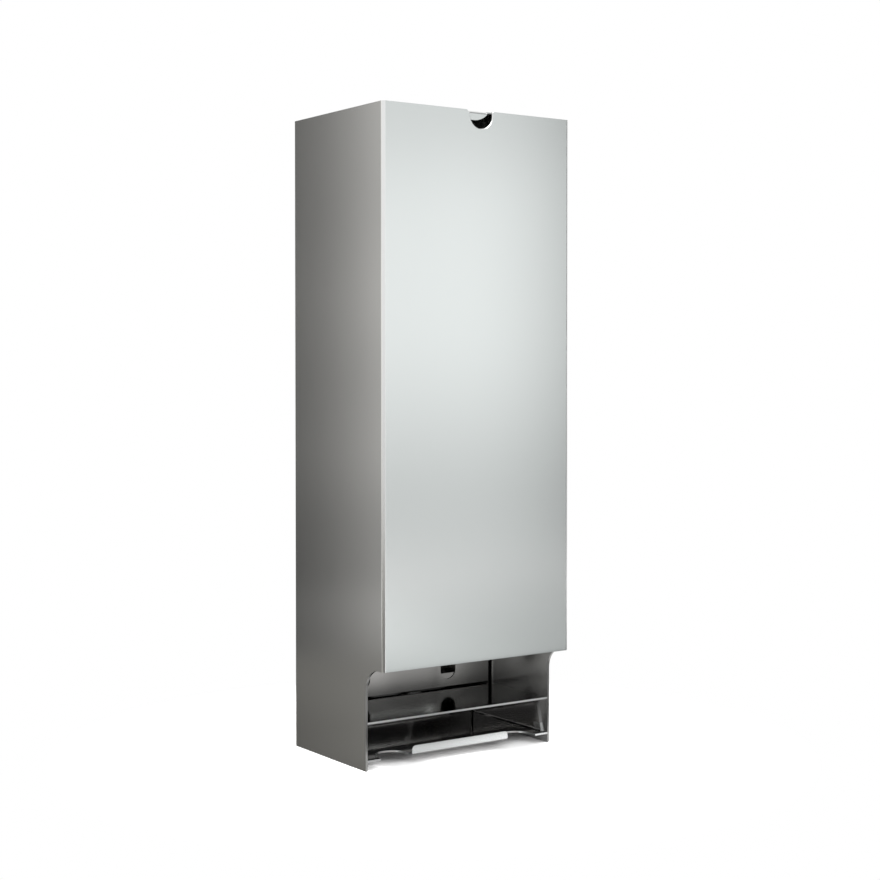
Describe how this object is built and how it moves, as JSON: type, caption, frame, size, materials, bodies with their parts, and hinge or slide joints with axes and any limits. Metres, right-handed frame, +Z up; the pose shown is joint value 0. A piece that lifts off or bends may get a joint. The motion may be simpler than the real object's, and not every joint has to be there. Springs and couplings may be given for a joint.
{
  "type": "tampon and pad dispenser",
  "caption": "Tall folded-steel washroom box with an open mouth at its lower front, a pad shelf over a lipped tampon tray, a divider behind, and a hinged lid with a thumb notch.",
  "frame": {"origin": "on the surface the box stands on, below the middle of its footprint", "axes": "+X to the right of someone facing the box, +Y from the front panel to the wall, +Z up"},
  "size_m": [0.15, 0.1106, 0.427],
  "materials": {
    "satin_steel": "fine satin, brushed along the height",
    "inner_steel": "satin mill finish",
    "bright_steel": "bright, nearly mirror-like",
    "hinge_steel": "plain drawn steel"
  },
  "bodies": {
    "box": {"casing": "satin_steel", "back_panel": "inner_steel", "divider": "inner_steel", "column_partition": "inner_steel", "pad_shelf": "bright_steel", "tampon_tray": "bright_steel", "left_lid_rest": "inner_steel", "right_lid_rest": "inner_steel", "hinge_back_leaf": "hinge_steel", "hinge_pin": "hinge_steel"},
    "lid": {"lid": "satin_steel", "hinge_lid_leaf": "hinge_steel"}
  },
  "joints": [
    {"name": "lid_hinge", "type": "hinge", "parent": "box", "child": "lid", "pos_m": [0, 0.0521, 0.42385], "axis": [-1, 0, 0], "range_deg": [0, 90]}
  ]
}
